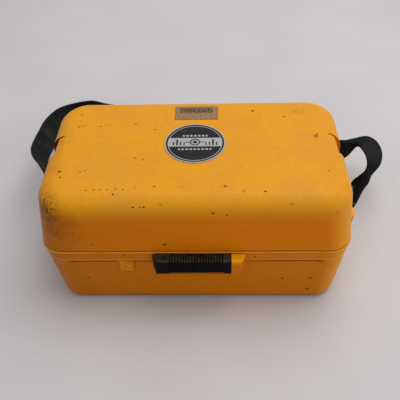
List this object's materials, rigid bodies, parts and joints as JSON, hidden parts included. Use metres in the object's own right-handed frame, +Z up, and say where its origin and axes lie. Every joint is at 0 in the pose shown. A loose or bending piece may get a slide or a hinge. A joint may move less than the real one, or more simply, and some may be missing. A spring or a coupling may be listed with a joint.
{
  "type": "automatic level in its carrying case",
  "caption": "Yellow moulded carrying case with hinged lid, pull-out handle and shoulder strap, holding an automatic level on three foot screws.",
  "frame": {"origin": "centre of the case's underside", "axes": "+Z up, +X along the case to the right as seen from the handle, +Y to the back, where the lid's hinge is"},
  "size_m": [0.4755, 0.3633, 0.1588],
  "materials": {
    "case_yellow": "moulded polyethylene, yellow-orange, semi-gloss, scuffed",
    "handle_yellow": "moulded plastic, yellow-orange",
    "grip_rubber": "black ribbed rubber, worn shiny",
    "latch_black": "black moulded plastic",
    "pin_steel": "drawn steel",
    "badge_metal": "printed aluminium, black fields",
    "label_metal": "worn anodised foil",
    "strap_webbing": "dark webbing, dusty",
    "insert_plastic": "black moulded insert",
    "pad_foam": "dark grey foam",
    "bob_brass": "turned brass",
    "level_paint": "light grey hammered paint",
    "level_paint_dark": "black satin paint",
    "level_plastic": "black plastic",
    "circle_metal": "satin aluminium",
    "inner_metal": "black anodised aluminium",
    "knob_rubber": "black rubber-rimmed knobs",
    "lens_glass": "coated optical glass",
    "vial_glass": "spirit-filled glass",
    "mirror_face": "silvered plate"
  },
  "bodies": {
    "case_base": {"base_shell": "case_yellow", "hinge_pin_left": "pin_steel", "hinge_pin_right": "pin_steel", "handle_guides": "insert_plastic", "shoulder_strap": "strap_webbing", "instrument_cradle": "insert_plastic", "plumb_bob": "bob_brass", "adjusting_pin": "pin_steel", "hex_wrench": "pin_steel", "base_plate": "level_paint_dark", "levelling_head": "level_paint_dark", "telescope_housing": "level_paint", "housing_cover": "level_paint", "cover_screws": "pin_steel", "gun_sight": "level_plastic", "objective_barrel": "level_paint_dark", "objective_lens": "lens_glass", "eyepiece_barrel": "level_paint_dark", "reticle_glass": "lens_glass", "focusing_tube": "inner_metal", "compensator_frame": "inner_metal", "vial_housing": "level_plastic", "vial_glass": "vial_glass"},
    "lid": {"lid_shell": "case_yellow", "badge_plate": "badge_metal", "label_plate": "label_metal", "lid_pad": "pad_foam", "latch_pin_left": "pin_steel", "latch_pin_right": "pin_steel"},
    "latch_flap_left": {"latch_left": "latch_black"},
    "latch_flap_right": {"latch_right": "latch_black"},
    "handle": {"handle_bar": "handle_yellow", "grip_sleeve": "grip_rubber"},
    "focus": {"focus_knob": "knob_rubber"},
    "focusing": {"focusing_cell": "inner_metal", "focusing_lens": "lens_glass"},
    "eyepiece": {"eyepiece_ring": "level_plastic", "eyepiece_lens": "lens_glass"},
    "circle": {"circle_ring": "circle_metal"},
    "tangent": {"tangent_screw": "knob_rubber"},
    "pendulum": {"compensator_prism": "lens_glass"},
    "mirror": {"vial_mirror": "mirror_face"},
    "foot_a": {"foot_screw_a": "knob_rubber"},
    "foot_b": {"foot_screw_b": "knob_rubber"},
    "foot_c": {"foot_screw_c": "knob_rubber"}
  },
  "joints": [
    {"name": "lid_hinge", "type": "hinge", "parent": "case_base", "child": "lid", "pos_m": [0, 0.1022, 0.088], "axis": [-1, 0, 0], "range_deg": [0, 100]},
    {"name": "latch_left_flap", "type": "hinge", "parent": "lid", "child": "latch_flap_left", "pos_m": [-0.1669, 0.011, 0.1], "axis": [0, 1, 0], "range_deg": [0, 22]},
    {"name": "latch_right_flap", "type": "hinge", "parent": "lid", "child": "latch_flap_right", "pos_m": [0.1669, 0.011, 0.1], "axis": [0, -1, 0], "range_deg": [0, 22]},
    {"name": "handle_slide", "type": "slide", "parent": "case_base", "child": "handle", "axis": [0, -1, 0], "range_m": [0, 0.024]},
    {"name": "focus_turn", "type": "hinge", "parent": "case_base", "child": "focus", "pos_m": [-0.014, -0.03, 0.092], "axis": [0, 1, 0], "range_deg": [-720, 720]},
    {"name": "focusing_slide", "type": "slide", "parent": "case_base", "child": "focusing", "axis": [1, 0, 0], "range_m": [-0.0126, 0.0126]},
    {"name": "eyepiece_turn", "type": "hinge", "parent": "case_base", "child": "eyepiece", "pos_m": [-0.123, 0.002, 0.092], "axis": [1, 0, 0], "range_deg": [-150, 150]},
    {"name": "circle_turn", "type": "hinge", "parent": "case_base", "child": "circle", "pos_m": [-0.038, 0.002, 0.047], "axis": [0, 0, 1], "continuous": true},
    {"name": "tangent_turn", "type": "hinge", "parent": "case_base", "child": "tangent", "pos_m": [-0.088, 0.002, 0.07], "axis": [0, 1, 0], "continuous": true},
    {"name": "pendulum_swing", "type": "hinge", "parent": "case_base", "child": "pendulum", "pos_m": [-0.056, 0.002, 0.116], "axis": [0, 1, 0], "range_deg": [-1, 1]},
    {"name": "mirror_fold", "type": "hinge", "parent": "case_base", "child": "mirror", "pos_m": [-0.068, -0.0314, 0.1302], "axis": [-1, 0, 0], "range_deg": [0, 50]},
    {"name": "foot_a_turn", "type": "hinge", "parent": "case_base", "child": "foot_a", "pos_m": [-0.038, 0.038, 0.03], "axis": [0, 0, 1], "continuous": true},
    {"name": "foot_b_turn", "type": "hinge", "parent": "case_base", "child": "foot_b", "pos_m": [-0.06918, -0.016, 0.03], "axis": [0, 0, 1], "continuous": true},
    {"name": "foot_c_turn", "type": "hinge", "parent": "case_base", "child": "foot_c", "pos_m": [-0.00682, -0.016, 0.03], "axis": [0, 0, 1], "continuous": true}
  ],
  "couplings": [
    {"joint": "focusing_slide", "follows": "focus_turn", "m_per_rad": 0.001}
  ]
}
